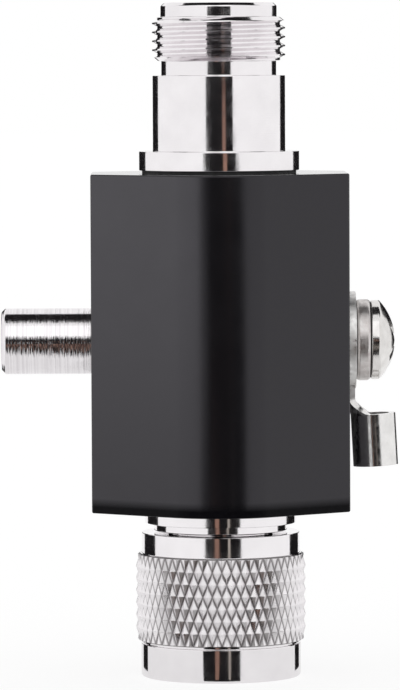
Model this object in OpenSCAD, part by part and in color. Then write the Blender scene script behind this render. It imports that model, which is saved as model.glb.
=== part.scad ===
// Coaxial lightning arrester: a black block between a threaded jack (top) and a plug with a
// captive coupling nut (bottom). A gas tube sits behind the screw cap on the left flat, and a
// ground screw clamps a ring terminal on the right flat.
// Millimetres. The coaxial axis is Z, and z = 0 is the mouth of the coupling nut.

/* [Block] */
// Distance across the two side flats
block_width = 30.6; // [29:0.2:36]
// Height of the block along the coaxial axis
block_height = 40.1; // [36:0.5:50]
// Width of each side flat, front to back
side_flat = 14; // [12.5:0.5:17]
// Slope of the front and back faces, in degrees
face_angle = 36; // [30:1:42]
// Radius of the broad front and back edges
edge_radius = 9; // [6:0.5:11]

/* [Coaxial line] */
// Bore of the air line inside the block
line_bore_d = 9.2; // [8.4:0.1:9.6]
// Diameter of the centre conductor in the block
line_rod_d = 4; // [3.6:0.1:4.4]
// Bore of the line inside both connector shells
shell_bore_d = 7; // [6.6:0.05:7.2]
// Diameter of the centre contacts in the connectors
contact_d = 3.04; // [2.8:0.02:3.2]
// Diameter of the shell tails that sit in the block
tail_d = 13; // [11.5:0.1:14]
// Length of the shell tails
tail_len = 8; // [6:0.5:10]
// Thickness of the beads that hold the centre conductor
bead_len = 3; // [2:0.25:4]
// Diameter of the spigots that join the contacts to the conductor
spigot_d = 2; // [1.6:0.1:2.2]
// Length of those spigots
spigot_len = 3.5; // [2:0.25:5]

/* [Jack] */
// Diameter of the flange on the block
flange_d = 19.1; // [17.5:0.1:22]
// Thickness of the flange
flange_h = 2.3; // [1.6:0.1:3]
// Diameter of the plain barrel
barrel_d = 15.8; // [14.6:0.1:17]
// Length of the plain barrel
barrel_len = 9; // [7:0.25:12]
// Diameter of the relief behind the thread
relief_d = 13.7; // [12.6:0.1:14.2]
// Length of the relief
relief_len = 1.7; // [1:0.1:2.5]
// Outside diameter of the jack's thread
jack_thread_d = 15.875; // [15.6:0.025:16]
// Length of the jack's thread
jack_thread_len = 5.25; // [4:0.25:8]
// Diameter of the plain lead in front of the thread
lead_d = 13.85; // [12:0.05:14.5]
// Length of the plain lead
lead_len = 1.7; // [0.8:0.1:2.5]
// Rounding of the front rim
rim_bevel = 0.4; // [0.1:0.05:0.6]
// Bore at the mouth of the jack
mouth_d = 8.5; // [8.42:0.02:8.7]
// Depth of the mouth, down to the tip of the socket
mouth_len = 4.9; // [4.5:0.1:5.3]
// Bore that the mating sleeve seats in, below the mouth
seat_d = 8.1; // [8:0.02:8.18]
// Depth of the seat plane below the front rim
seat_depth = 9.1; // [8:0.05:10]
// Hole of the socket contact
socket_d = 1.7; // [1.6:0.01:1.8]
// Depth of that hole
socket_depth = 6; // [5:0.25:8]
// Width of the slots that let the socket spring
socket_slot = 0.25; // [0.15:0.05:0.3]
// Length of those slots
socket_slot_len = 4.2; // [2:0.2:4.8]
// Number of those slots
socket_slots = 4; // [2:1:4]
// Thickness of the seal under the flange
seal_h = 0.3; // [0.2:0.05:0.6]
// Outside diameter of that seal
seal_d = 18.4; // [16:0.1:19]
// Length of the jack's insulator
jack_insulator_len = 7.5; // [5:0.25:9]

/* [Plug] */
// Diameter of the neck under the block
neck_d = 18.1; // [16.5:0.1:20]
// Height of the neck
neck_h = 1.7; // [0.8:0.1:2]
// Diameter of the shoulder that shows above the nut
shoulder_d = 15.9; // [14.5:0.1:16.5]
// Height of that shoulder
shoulder_h = 0.9; // [0.5:0.1:1.5]
// Diameter of the shell inside the nut
plug_barrel_d = 12.4; // [11.8:0.1:12.8]
// Outside diameter of the slotted sleeve
sleeve_d = 8.05; // [7.9:0.01:8.1]
// How far the sleeve's tip sits inside the nut's mouth
sleeve_recess = 2.6; // [2.5:0.1:3.5]
// Length of the sleeve
sleeve_len = 14.4; // [12.5:0.1:14.8]
// Length of the sleeve's slots
sleeve_slot_len = 6; // [4:0.25:7]
// Width of the sleeve's slots
sleeve_slot = 0.4; // [0.2:0.05:0.6]
// Number of slots in the sleeve
sleeve_slots = 6; // [4:1:8]
// Diameter of the centre pin
pin_d = 1.65; // [1.6:0.01:1.68]
// How far the pin's tip sits inside the sleeve's tip
pin_recess = 0.6; // [0.2:0.1:1.5]
// Length of the thin part of the pin
pin_len = 5; // [4:0.1:5.6]
// Length of the plug's insulator
plug_insulator_len = 6; // [4:0.25:7]
// Thickness of the gasket in the nut
gasket_h = 1; // [0.6:0.1:1.4]
// Outside diameter of the gasket
gasket_d = 12.2; // [11:0.1:12.3]

/* [Coupling nut] */
// Diameter of the plain band at the mouth
nut_band_d = 19.1; // [18.4:0.1:20]
// Height of that band
nut_band_h = 4; // [3:0.25:6]
// Diameter of the groove above the band
nut_groove_d = 18.5; // [17.6:0.1:18.8]
// Height of that groove
nut_groove_h = 0.3; // [0.2:0.05:0.6]
// Diameter over the knurled grip
grip_d = 20.35; // [19.8:0.05:22]
// Height of the knurled grip
grip_h = 10.5; // [9:0.25:13]
// Bevel at the nut's mouth
mouth_bevel = 0.4; // [0.1:0.05:0.6]
// Diamonds around the grip
knurl_count = 54; // [36:1:60]
// Rows of half diamonds up the grip
knurl_rows = 7; // [4:1:9]
// Height of the diamonds
knurl_depth = 0.45; // [0.25:0.05:0.55]
// Plain edge at both ends of the grip
knurl_edge = 0.15; // [0.1:0.05:0.4]
// Diameter of the plain collar at the back
collar_d = 18.9; // [17.5:0.1:19.5]
// Height of that collar
collar_h = 2.5; // [2.3:0.1:4]
// Inner diameter of the nut's thread
nut_thread_d = 14.9; // [14.7:0.02:15.1]
// Plain pilot bore at the nut's mouth
pilot_d = 16.1; // [15.95:0.01:16.4]
// Depth of the pilot bore
pilot_h = 2.4; // [1.5:0.1:2.45]
// How far the bearing land inside the nut reaches below the collar
land_drop = 1.6; // [1:0.1:2]
// How far the nut floats along the axis
nut_float = 0.9; // [0.3:0.1:1.2]
// Depth of the snap ring's groove in the plug's shell
shell_groove = 0.9; // [0.6:0.05:1.1]
// Depth of the snap ring's groove in the nut
nut_groove = 0.7; // [0.4:0.05:1]
// Height of the snap ring
ring_h = 0.9; // [0.6:0.05:1]
// Height of the snap ring above the foot of the bearing land
ring_lift = 2; // [1.8:0.1:2.4]
// Gap between the snap ring's ends
ring_gap = 2.4; // [1:0.2:4]

/* [Gas tube] */
// Diameter of the gas tube's electrodes
tube_d = 5.5; // [5:0.1:5.6]
// Length of the gas tube
tube_len = 6; // [5:0.25:6.5]
// Thickness of the electrode discs
electrode_h = 1; // [0.8:0.05:1.4]
// Diameter of the electrode bosses inside the tube
electrode_boss_d = 3; // [2:0.1:3.2]
// Spark gap between the bosses
spark_gap = 0.7; // [0.4:0.05:1]
// Outside diameter of the ceramic ring
ceramic_d = 5.3; // [4.8:0.05:5.4]
// Inside diameter of the ceramic ring
ceramic_bore_d = 4; // [3.6:0.1:4.2]
// Depth of the flat on the conductor that the gas tube seats on
seat_flat = 0.3; // [0.2:0.05:0.6]
// Bore of the block around the gas tube
tube_bore_d = 6.2; // [6:0.1:6.6]

/* [Screw cap] */
// Diameter of the cap
cap_d = 7.87; // [7.4:0.01:8.4]
// How far the cap stands out of the block
cap_stem = 10.75; // [6:0.25:16]
// Bevel on the outer end of the cap
cap_bevel = 0.45; // [0.2:0.05:1]
// Bore of the spring pocket in the cap
pocket_d = 5.9; // [5.7:0.05:6.1]
// Length of the contact spring
spring_len = 5.8; // [5.2:0.1:6.6]
// How far the spring stands out of its pocket
spring_proud = 1.6; // [1.2:0.1:2.2]
// Diameter of the spring, over the wire
spring_d = 5; // [4.4:0.1:5.4]
// Diameter of the spring wire
wire_d = 0.6; // [0.4:0.05:0.7]
// Turns of the spring
spring_turns = 4; // [3:0.5:4.5]
// Distance from the block's flat to the middle of the cap's seal
cap_seal_depth = 1; // [0.8:0.05:1.1]
// Thickness of the seal's cord
cap_seal_cord = 0.8; // [0.6:0.05:1]

/* [Ground screw] */
// Diameter of the screw's thread
screw_d = 4.9; // [4.4:0.05:5.1]
// Length of the screw under its head
screw_len = 12; // [8:0.5:12]
// Diameter of the head
head_d = 9.5; // [8.5:0.1:10.5]
// Height of the head
head_h = 2.9; // [2.4:0.1:3.6]
// Height of the straight rim of the head
head_rim = 1; // [0.6:0.1:1.4]
// Span of the cross recess
recess_span = 5.2; // [4:0.1:6]
// Width of the arms of the recess
recess_arm = 1.2; // [0.8:0.1:1.6]
// Depth of the recess
recess_depth = 1.8; // [1.2:0.1:2]
// Outside diameter of the lock washer
washer_d = 9.7; // [8.6:0.1:10.5]
// Thickness of the lock washer
washer_h = 1.8; // [1:0.1:2.2]
// Width of the split in the lock washer
washer_split = 0.6; // [0.3:0.1:1]

/* [Ring terminal] */
// Diameter of the terminal's ring
eye_d = 11.6; // [10:0.1:12.4]
// Thickness of its sheet metal
sheet = 0.9; // [0.6:0.05:1.2]
// Width of the tongue below the ring
tongue_w = 5; // [3.6:0.1:5.2]
// Distance from the screw's axis to the top of the wire barrel
barrel_drop = 8.8; // [7.2:0.1:11]
// Outside diameter of the wire barrel
wire_barrel_d = 5.35; // [4.4:0.05:6]
// Wall of the wire barrel
wire_barrel_wall = 0.75; // [0.5:0.05:0.95]
// Length of the wire barrel
wire_barrel_len = 6.2; // [4:0.1:9]
// Outward lean of the wire barrel, in degrees
wire_barrel_lean = 3; // [0:0.5:6]
// Length of the scoop that joins the barrel to the tongue
scoop_len = 1.7; // [1:0.1:2.2]

/* [Fits] */
// Radial clearance between pieces that are pressed or soldered together
fit_gap = 0.02; // [0.01:0.01:0.05]
// Radial clearance where one piece turns in another
run_gap = 0.06; // [0.03:0.01:0.1]
// Loose clearance around pieces that only pass through
loose_gap = 0.2; // [0.1:0.05:0.3]
// Clearance in front of the ends of pieces
end_gap = 0.3; // [0.1:0.05:0.4]

/* [Hidden] */
$fn = 72;

// Heights along the coaxial axis, from the nut's mouth up
grip_z = nut_band_h + nut_groove_h;
collar_z = grip_z + grip_h;
nut_top = collar_z + collar_h;
shoulder_z = nut_top + loose_gap;
neck_z = shoulder_z + shoulder_h;
block_z = neck_z + neck_h;
block_top = block_z + block_height;
mid_z = block_z + block_height / 2;
line_low = block_z + tail_len;
line_high = block_top - tail_len;
flange_z = block_top + seal_h;
flange_top = flange_z + flange_h;
barrel_top = flange_top + barrel_len;
thread_z = barrel_top + relief_len;
thread_top = thread_z + jack_thread_len;
jack_top = thread_top + lead_len;
seat_z = jack_top - seat_depth;
socket_z = jack_top - mouth_len;

// Heights inside the plug
sleeve_top = sleeve_recess + sleeve_len;
pin_tip_z = sleeve_recess + pin_recess;
pin_step_z = pin_tip_z + pin_len;
land_z = collar_z - land_drop;
ring_z = land_z + ring_lift;
plug_front = land_z - nut_float + end_gap;

// Radii of the snap ring and its two grooves
ring_play = run_gap;
bearing_r = plug_barrel_d / 2 + run_gap;
shell_groove_r = plug_barrel_d / 2 - shell_groove;
nut_groove_r = bearing_r + nut_groove;

// Distances from the coaxial axis to the left, through the gas tube and its cap
flat_x = block_width / 2;
tube_x = line_rod_d / 2 - seat_flat;
tube_end = tube_x + tube_len;
cap_x = tube_end + spring_proud;
pocket_end = tube_end + spring_len;
cap_end = flat_x + cap_stem;
cap_bore_d = cap_d + 2 * run_gap;
seal_x = flat_x - cap_seal_depth;
seal_r = cap_d / 2 - cap_seal_cord / 2;

// Distances from the coaxial axis to the right, through the screw's stack
washer_x = flat_x + sheet;
head_x = washer_x + washer_h;
screw_end = head_x - screw_len;
eye_bore_d = screw_d + 2 * loose_gap;

// Colours
anodised = [0.13, 0.13, 0.14];
plated = [0.8, 0.8, 0.82];
gilt = [0.83, 0.67, 0.33];
white_resin = [0.94, 0.94, 0.92];
dark_rubber = [0.18, 0.18, 0.19];
red_rubber = [0.7, 0.22, 0.16];

// Solid of revolution about the coaxial axis from [radius, height] points
module turned(points) {
    rotate_extrude()
        polygon(points);
}

// Plain tube about the coaxial axis
module tube(outer_d, inner_d, low, high) {
    turned([
        [inner_d / 2, low], [outer_d / 2, low],
        [outer_d / 2, high], [inner_d / 2, high]
    ]);
}

// Places children with their z axis pointing out of the left flat
module to_left() {
    translate([0, 0, mid_z])
        rotate([0, -90, 0])
            children();
}

// Places children with their z axis out of the right flat and their x axis downwards
module to_right() {
    translate([0, 0, mid_z])
        rotate([0, 90, 0])
            children();
}

// Thin radial slots through the wall of a tube about the axis, from low to high
module slots(count, width, inner_d, outer_d, low, high) {
    from = inner_d / 2 - width;
    for (i = [0 : count - 1])
        rotate([0, 0, 360 * i / count])
            translate([from, -width / 2, low])
                cube([outer_d / 2 + width - from, width, high - low]);
}

// Outline of the block: two side flats and two pairs of sloping faces with broad round edges
module block_outline() {
    peak = side_flat / 2 + flat_x * tan(face_angle);
    arc_y = peak - edge_radius / cos(face_angle);
    touch_x = edge_radius * sin(face_angle);
    touch_y = arc_y + edge_radius * cos(face_angle);
    polygon([
        [-flat_x, -side_flat / 2], [-touch_x, -touch_y], [touch_x, -touch_y], [flat_x, -side_flat / 2],
        [flat_x, side_flat / 2], [touch_x, touch_y], [-touch_x, touch_y], [-flat_x, side_flat / 2]
    ]);
    for (side = [-1, 1])
        translate([0, side * arc_y])
            circle(r = edge_radius);
}

module body_block() {
    tail_seat_d = tail_d + 2 * fit_gap;
    cut = end_gap;
    color(anodised)
        difference() {
            translate([0, 0, block_z])
                linear_extrude(block_height)
                    block_outline();
            translate([0, 0, block_z - cut])
                cylinder(d = line_bore_d, h = block_height + 2 * cut);
            translate([0, 0, block_z - cut])
                cylinder(d = tail_seat_d, h = tail_len + cut);
            translate([0, 0, line_high])
                cylinder(d = tail_seat_d, h = tail_len + cut);
            to_left()
                cylinder(d = tube_bore_d, h = flat_x);
            to_left()
                translate([0, 0, cap_x - end_gap])
                    cylinder(d = cap_bore_d, h = flat_x);
            to_right()
                translate([0, 0, screw_end - end_gap])
                    cylinder(d = screw_d + 2 * run_gap, h = flat_x);
        }
}

module jack_shell() {
    color(plated)
        turned([
            [shell_bore_d / 2, line_high], [tail_d / 2, line_high],
            [tail_d / 2, flange_z], [flange_d / 2, flange_z],
            [flange_d / 2, flange_top], [barrel_d / 2, flange_top],
            [barrel_d / 2, barrel_top], [relief_d / 2, barrel_top],
            [relief_d / 2, thread_z], [jack_thread_d / 2, thread_z],
            [jack_thread_d / 2, thread_top], [lead_d / 2, thread_top],
            [lead_d / 2, jack_top - rim_bevel], [lead_d / 2 - rim_bevel, jack_top],
            [mouth_d / 2, jack_top], [mouth_d / 2, socket_z],
            [seat_d / 2, socket_z], [seat_d / 2, seat_z],
            [shell_bore_d / 2, seat_z]
        ]);
}

module jack_seal() {
    color(dark_rubber)
        tube(seal_d, tail_d + 2 * fit_gap, block_top, flange_z);
}

module jack_insulator() {
    color(white_resin)
        tube(shell_bore_d - 2 * fit_gap, contact_d + 2 * fit_gap, seat_z - jack_insulator_len, seat_z);
}

module jack_contact() {
    color(gilt)
        difference() {
            union() {
                translate([0, 0, line_high])
                    cylinder(d = contact_d, h = socket_z - line_high);
                translate([0, 0, line_high - spigot_len])
                    cylinder(d = spigot_d, h = spigot_len + fit_gap);
            }
            translate([0, 0, socket_z - socket_depth])
                cylinder(d = socket_d, h = socket_depth + end_gap);
            slots(
                socket_slots, socket_slot, socket_d, contact_d,
                socket_z - socket_slot_len, socket_z + end_gap
            );
        }
}

module upper_bead() {
    color(white_resin)
        tube(line_bore_d - 2 * fit_gap, line_rod_d + 2 * fit_gap, line_high - bead_len, line_high);
}

module centre_conductor() {
    hole_d = spigot_d + 2 * fit_gap;
    hole_len = spigot_len + end_gap;
    color(gilt)
        difference() {
            translate([0, 0, line_low])
                cylinder(d = line_rod_d, h = line_high - line_low);
            translate([0, 0, line_low - end_gap])
                cylinder(d = hole_d, h = hole_len + end_gap);
            translate([0, 0, line_high - hole_len])
                cylinder(d = hole_d, h = hole_len + end_gap);
            to_left()
                translate([0, 0, tube_x])
                    cylinder(d = tube_bore_d, h = line_rod_d);
        }
}

module lower_bead() {
    color(white_resin)
        tube(line_bore_d - 2 * fit_gap, line_rod_d + 2 * fit_gap, line_low, line_low + bead_len);
}

module plug_shell() {
    sleeve_seat_r = sleeve_d / 2 + fit_gap;
    groove_low = ring_z - nut_float - ring_play;
    groove_high = ring_z + ring_h + ring_play;
    color(plated)
        turned([
            [sleeve_seat_r, plug_front], [plug_barrel_d / 2, plug_front],
            [plug_barrel_d / 2, groove_low], [shell_groove_r, groove_low],
            [shell_groove_r, groove_high], [plug_barrel_d / 2, groove_high],
            [plug_barrel_d / 2, shoulder_z], [shoulder_d / 2, shoulder_z],
            [shoulder_d / 2, neck_z], [neck_d / 2, neck_z],
            [neck_d / 2, block_z], [tail_d / 2, block_z],
            [tail_d / 2, line_low], [shell_bore_d / 2, line_low],
            [shell_bore_d / 2, sleeve_top], [sleeve_seat_r, sleeve_top]
        ]);
}

module plug_sleeve() {
    color(plated)
        difference() {
            tube(sleeve_d, shell_bore_d, sleeve_recess, sleeve_top);
            slots(
                sleeve_slots, sleeve_slot, shell_bore_d, sleeve_d,
                sleeve_recess - end_gap, sleeve_recess + sleeve_slot_len
            );
        }
}

module plug_insulator() {
    color(white_resin)
        tube(
            shell_bore_d - 2 * fit_gap, contact_d + 2 * fit_gap,
            sleeve_top - plug_insulator_len, sleeve_top
        );
}

module plug_pin() {
    point_h = pin_d / 2;
    color(gilt)
        turned([
            [0, pin_tip_z], [pin_d / 4, pin_tip_z],
            [pin_d / 2, pin_tip_z + point_h], [pin_d / 2, pin_step_z],
            [contact_d / 2, pin_step_z], [contact_d / 2, line_low],
            [spigot_d / 2, line_low], [spigot_d / 2, line_low + spigot_len],
            [0, line_low + spigot_len]
        ]);
}

module plug_gasket() {
    color(red_rubber)
        tube(gasket_d, sleeve_d + 2 * fit_gap, plug_front - gasket_h, plug_front);
}

module snap_ring() {
    inner_r = shell_groove_r + loose_gap;
    outer_r = nut_groove_r - ring_play;
    color(plated)
        difference() {
            tube(2 * outer_r, 2 * inner_r, ring_z, ring_z + ring_h);
            translate([0, -ring_gap / 2, ring_z - end_gap])
                cube([2 * outer_r, ring_gap, ring_h + 2 * end_gap]);
        }
}

// Diamond knurl: rows of points around the grip, each row turned by half a diamond. Every second
// point stands out as a tip, and the two end rows stand out half as far.
knurl_columns = 2 * knurl_count;
knurl_low = grip_z + knurl_edge;
knurl_rise = (grip_h - 2 * knurl_edge) / knurl_rows;
knurl_foot_r = grip_d / 2 - knurl_depth;
grip_core_r = knurl_foot_r - loose_gap / 2;
function knurl_reach(row) = (row == 0 || row == knurl_rows) ? knurl_depth / 2 : knurl_depth;
function is_tip(row, column) = (row + column) % 2 == 0;
function knurl_at(r, row, column) = [
    r * cos(360 * column / knurl_columns),
    r * sin(360 * column / knurl_columns),
    knurl_low + knurl_rise * row
];
function knurl_point(row, column) =
    knurl_at(knurl_foot_r + (is_tip(row, column) ? knurl_reach(row) : 0), row, column);
function knurl_index(row, column) = row * knurl_columns + column % knurl_columns;

module knurl() {
    inner_r = grip_core_r - loose_gap;
    wall = [for (row = [0 : knurl_rows], column = [0 : knurl_columns - 1]) knurl_point(row, column)];
    lining = [
        for (row = [0, knurl_rows], column = [0 : knurl_columns - 1])
            knurl_at(inner_r, row, column)
    ];
    facets = [
        for (row = [0 : knurl_rows - 1], column = [0 : knurl_columns - 1])
            let (a = knurl_index(row, column), b = knurl_index(row, column + 1))
            let (c = knurl_index(row + 1, column + 1), d = knurl_index(row + 1, column))
            each is_tip(row, column) ? [[a, d, b], [b, d, c]] : [[a, c, b], [a, d, c]]
    ];
    ends = [
        for (column = [0 : knurl_columns - 1])
            let (low = knurl_rows + 1, high = low + 1)
            let (e = knurl_index(low, column), f = knurl_index(low, column + 1))
            let (g = knurl_index(high, column), h = knurl_index(high, column + 1))
            let (a = knurl_index(0, column), b = knurl_index(0, column + 1))
            let (d = knurl_index(knurl_rows, column), c = knurl_index(knurl_rows, column + 1))
            each [[a, b, f, e], [d, g, h, c], [e, f, h, g]]
    ];
    polyhedron(concat(wall, lining), concat(facets, ends));
}

module coupling_nut() {
    groove_low = ring_z - ring_play;
    groove_high = ring_z + ring_h + ring_play;
    color(plated) {
        turned([
            [pilot_d / 2, 0], [nut_band_d / 2 - mouth_bevel, 0],
            [nut_band_d / 2, mouth_bevel], [nut_band_d / 2, nut_band_h],
            [nut_groove_d / 2, nut_band_h], [nut_groove_d / 2, grip_z],
            [grip_core_r, grip_z], [grip_core_r, collar_z],
            [collar_d / 2, collar_z], [collar_d / 2, nut_top],
            [bearing_r, nut_top], [bearing_r, groove_high],
            [nut_groove_r, groove_high], [nut_groove_r, groove_low],
            [bearing_r, groove_low], [bearing_r, land_z],
            [nut_thread_d / 2, land_z], [nut_thread_d / 2, pilot_h],
            [pilot_d / 2, pilot_h]
        ]);
        knurl();
    }
}

// Electrode of the gas tube: a disc with a boss that faces the spark gap
module electrode() {
    boss_h = (tube_len - spark_gap) / 2;
    cylinder(d = tube_d, h = electrode_h);
    cylinder(d = electrode_boss_d, h = boss_h);
}

module line_electrode() {
    color(plated)
        to_left()
            translate([0, 0, tube_x])
                electrode();
}

module gas_tube_ceramic() {
    color(white_resin)
        to_left()
            translate([0, 0, tube_x])
                tube(ceramic_d, ceramic_bore_d, electrode_h, tube_len - electrode_h);
}

module ground_electrode() {
    color(plated)
        to_left()
            translate([0, 0, tube_end])
                mirror([0, 0, 1])
                    electrode();
}

// Contact spring: one round wire along a helix, seated on the gas tube and in the cap's pocket
wire_sides = 8;
wire_steps = 16;
wire_rings = round(spring_turns * wire_steps);
coil_r = (spring_d - wire_d) / 2;
coil_low = tube_end + wire_d / 2 + fit_gap;
coil_rise = spring_len - wire_d - 2 * fit_gap;
function coil_turn(i) = 360 * spring_turns * i / wire_rings;
function coil_point(i) = [
    coil_r * cos(coil_turn(i)),
    coil_r * sin(coil_turn(i)),
    coil_low + coil_rise * i / wire_rings
];
function wire_point(i, j) =
    let (out = [cos(coil_turn(i)), sin(coil_turn(i)), 0])
    let (slope = atan(coil_rise / (2 * PI * coil_r * spring_turns)))
    let (up = [sin(slope) * sin(coil_turn(i)), -sin(slope) * cos(coil_turn(i)), cos(slope)])
    coil_point(i) + wire_d / 2 * (cos(360 * j / wire_sides) * out + sin(360 * j / wire_sides) * up);
coil_gaps = [
    for (i = [0 : wire_rings], k = [i + wire_steps / 2 : wire_rings])
        norm(coil_point(i) - coil_point(k)) - wire_d
];
echo(least_gap_between_turns_of_contact_spring = min(coil_gaps));

module contact_spring() {
    points = [for (i = [0 : wire_rings], j = [0 : wire_sides - 1]) wire_point(i, j)];
    sides = [
        for (i = [0 : wire_rings - 1], j = [0 : wire_sides - 1])
            let (next = (j + 1) % wire_sides)
            each [
                [i * wire_sides + j, (i + 1) * wire_sides + j, i * wire_sides + next],
                [i * wire_sides + next, (i + 1) * wire_sides + j, (i + 1) * wire_sides + next]
            ]
    ];
    first_end = [for (j = [0 : wire_sides - 1]) j];
    last_end = [for (j = [wire_sides - 1 : -1 : 0]) wire_rings * wire_sides + j];
    color(plated)
        to_left()
            polyhedron(points, concat(sides, [first_end, last_end]));
}

module gas_tube_cap() {
    color(plated)
        to_left()
            difference() {
                turned([
                    [0, pocket_end], [pocket_d / 2, pocket_end],
                    [pocket_d / 2, cap_x], [cap_d / 2, cap_x],
                    [cap_d / 2, cap_end - cap_bevel], [cap_d / 2 - cap_bevel, cap_end],
                    [0, cap_end]
                ]);
                tube(
                    cap_d + 2 * end_gap, 2 * seal_r - cap_seal_cord,
                    seal_x - cap_seal_cord / 2 - fit_gap, seal_x + cap_seal_cord / 2 + fit_gap
                );
            }
}

module cap_seal() {
    color(dark_rubber)
        to_left()
            translate([0, 0, seal_x])
                rotate_extrude()
                    translate([seal_r + fit_gap, 0])
                        circle(d = cap_seal_cord, $fn = 24);
}

module ground_screw() {
    dome = head_h - head_rim;
    dome_r = (pow(head_d / 2, 2) + pow(dome, 2)) / (2 * dome);
    tip = screw_d / 8;
    color(plated)
        to_right()
            difference() {
                union() {
                    translate([0, 0, screw_end + tip])
                        cylinder(d = screw_d, h = screw_len - tip);
                    translate([0, 0, screw_end])
                        cylinder(d1 = screw_d - 2 * tip, d2 = screw_d, h = tip);
                    intersection() {
                        translate([0, 0, head_x])
                            cylinder(d = head_d, h = head_h);
                        translate([0, 0, head_x + head_h - dome_r])
                            sphere(r = dome_r);
                    }
                }
                for (turn = [45, 135])
                    rotate([0, 0, turn])
                        translate([-recess_span / 2, -recess_arm / 2, head_x + head_h - recess_depth])
                            cube([recess_span, recess_arm, head_h]);
            }
}

module lock_washer() {
    split_slant = 25;
    color(plated)
        to_right()
            difference() {
                tube(washer_d, eye_bore_d, washer_x, head_x);
                translate([0, washer_d / 2, (washer_x + head_x) / 2])
                    rotate([0, split_slant, 0])
                        cube([washer_split, washer_d, 2 * washer_h], center = true);
            }
}

module ring_terminal() {
    barrel_lift = sheet / 3;
    barrel_z = flat_x + barrel_lift + wire_barrel_d / 2;
    bore_d = wire_barrel_d - 2 * wire_barrel_wall;
    color(plated)
        to_right()
            difference() {
                union() {
                    tube(eye_d, eye_bore_d, flat_x, washer_x);
                    translate([eye_bore_d / 2 + sheet, -tongue_w / 2, flat_x])
                        cube([barrel_drop - eye_bore_d / 2, tongue_w, sheet]);
                    translate([barrel_drop, 0, barrel_z])
                        rotate([0, -wire_barrel_lean, 0])
                            wire_barrel();
                }
                translate([barrel_drop, 0, barrel_z])
                    rotate([0, 90 - wire_barrel_lean, 0])
                        translate([0, 0, -scoop_len - end_gap])
                            cylinder(d = bore_d, h = scoop_len + wire_barrel_len + 2 * end_gap);
            }
}

// Wire barrel along x with the scoop that runs back into the tongue
module wire_barrel() {
    rotate([0, 90, 0])
        cylinder(d = wire_barrel_d, h = wire_barrel_len);
    intersection() {
        translate([-scoop_len, 0, 0])
            rotate([0, 90, 0])
                cylinder(d = wire_barrel_d, h = scoop_len);
        rotate([90, 0, 0])
            linear_extrude(wire_barrel_d, center = true)
                polygon([
                    [-scoop_len, -wire_barrel_d / 2], [0, -wire_barrel_d / 2],
                    [0, scoop_len - wire_barrel_d / 2 + sheet], [-scoop_len, sheet - wire_barrel_d / 2]
                ]);
    }
}

body_block();
jack_shell();
jack_seal();
jack_insulator();
jack_contact();
upper_bead();
centre_conductor();
lower_bead();
plug_shell();
plug_sleeve();
plug_insulator();
plug_pin();
plug_gasket();
snap_ring();
coupling_nut();
line_electrode();
gas_tube_ceramic();
ground_electrode();
contact_spring();
gas_tube_cap();
cap_seal();
ground_screw();
lock_washer();
ring_terminal();
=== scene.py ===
"""Looks of the coaxial lightning arrester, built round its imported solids."""
import math

import bpy
from mathutils import Matrix, Vector


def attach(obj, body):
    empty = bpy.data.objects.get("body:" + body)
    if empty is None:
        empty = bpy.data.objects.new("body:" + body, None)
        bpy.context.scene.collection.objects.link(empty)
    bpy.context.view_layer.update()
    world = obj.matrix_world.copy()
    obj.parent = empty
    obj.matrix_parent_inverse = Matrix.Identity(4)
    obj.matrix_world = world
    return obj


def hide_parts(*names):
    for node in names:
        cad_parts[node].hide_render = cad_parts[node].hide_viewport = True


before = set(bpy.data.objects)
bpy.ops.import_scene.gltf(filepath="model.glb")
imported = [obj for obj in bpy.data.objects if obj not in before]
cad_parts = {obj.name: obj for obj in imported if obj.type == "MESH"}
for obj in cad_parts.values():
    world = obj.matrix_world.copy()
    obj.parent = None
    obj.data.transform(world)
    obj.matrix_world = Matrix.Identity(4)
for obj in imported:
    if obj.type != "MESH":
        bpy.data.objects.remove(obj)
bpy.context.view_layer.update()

# Lengths are written in mm and built in metres
MM = 0.001
# Points closer than this become one
SAME_POINT = 0.0004 * MM

# Height of the axis that the screw cap and the ground screw share
CROSS_Z = 40.15
# Turns that lay a piece made about Z along that axis, out to the right or to the left
TO_RIGHT, TO_LEFT = 90, -90
# Lower end of the block, and the ends of the two connectors' tails inside it
BLOCK_LOW = 20.1
PLUG_TAIL_END, JACK_TAIL_END = 28.1, 52.2
# Radius of the tails, and of the line's bore through both connectors
TAIL_R, SHELL_BORE_R = 6.5, 3.5
# Radius of the plug's bore round its insulator, and of the gasket's hole
PLUG_BORE_R = 4.045
# Pitch of the connectors' thread, 24 to the inch
CONNECTOR_PITCH = 1.058
# Outer face of the terminal's eye, that of the washer on it, and the screw's hole through both
EYE_FACE, WASHER_FACE = 16.2, 18
SCREW_HOLE_R = 2.65


# Modelling by hand: small helpers


def put_down():
    """Leaves edit mode and lets go of everything that is selected."""
    if bpy.context.object and bpy.context.object.mode != "OBJECT":
        bpy.ops.object.mode_set(mode="OBJECT")
    bpy.ops.object.select_all(action="DESELECT")


def take(piece):
    """Makes one piece the only selected and active one."""
    put_down()
    piece.select_set(True)
    bpy.context.view_layer.objects.active = piece


def open_up(piece):
    """Goes into edit mode with everything selected."""
    take(piece)
    bpy.ops.object.mode_set(mode="EDIT")
    bpy.ops.mesh.select_mode(type="VERT")
    bpy.ops.mesh.select_all(action="SELECT")


def pick_points(piece, wanted):
    """Goes into edit mode with just the points selected whose place, in mm, passes a test."""
    take(piece)
    mesh = piece.data
    for part in (*mesh.edges, *mesh.polygons):
        part.select = False
    for point in mesh.vertices:
        point.select = wanted(point.co / MM)
    bpy.ops.object.mode_set(mode="EDIT")
    bpy.ops.mesh.select_mode(type="VERT")


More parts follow.
